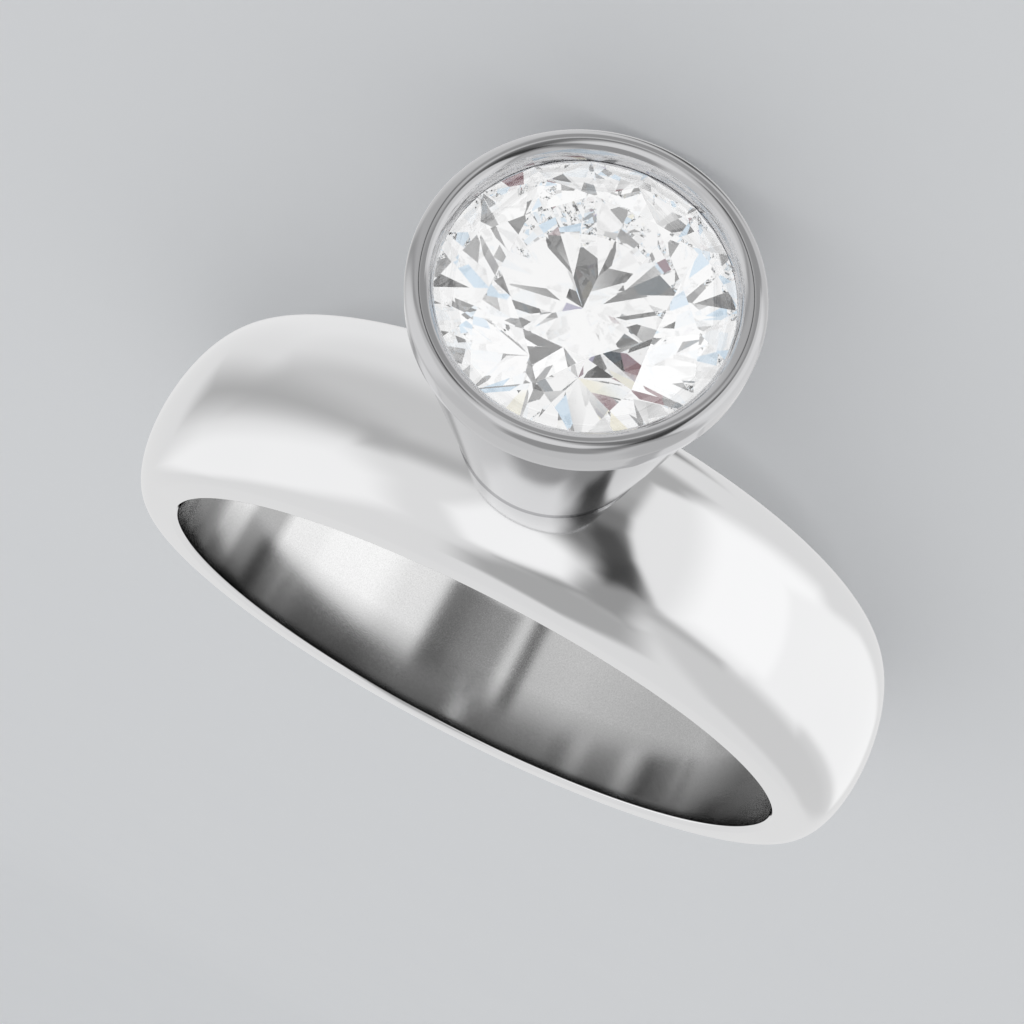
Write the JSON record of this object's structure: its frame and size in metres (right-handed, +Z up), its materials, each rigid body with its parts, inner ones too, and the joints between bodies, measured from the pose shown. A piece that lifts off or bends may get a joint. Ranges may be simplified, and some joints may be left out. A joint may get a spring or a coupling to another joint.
{
  "type": "bezel set ring",
  "caption": "Finger ring lying on its side: wide domed band with a tall tapered bezel cup that holds a round brilliant cut stone.",
  "frame": {"origin": "on the surface that the ring lies on, under the centre of its box", "axes": "+Z up; the head points to -Y; the finger hole runs nearly along +Z, leaning 4.3 degrees towards +Y; +X across the ring"},
  "size_m": [0.0206, 0.0274, 0.0062],
  "materials": {
    "white_gold": "high polish, rhodium plated",
    "gem": "polished facets, colourless"
  },
  "bodies": {
    "root": {"band_with_bezel": "white_gold", "stone": "gem"}
  },
  "joints": []
}
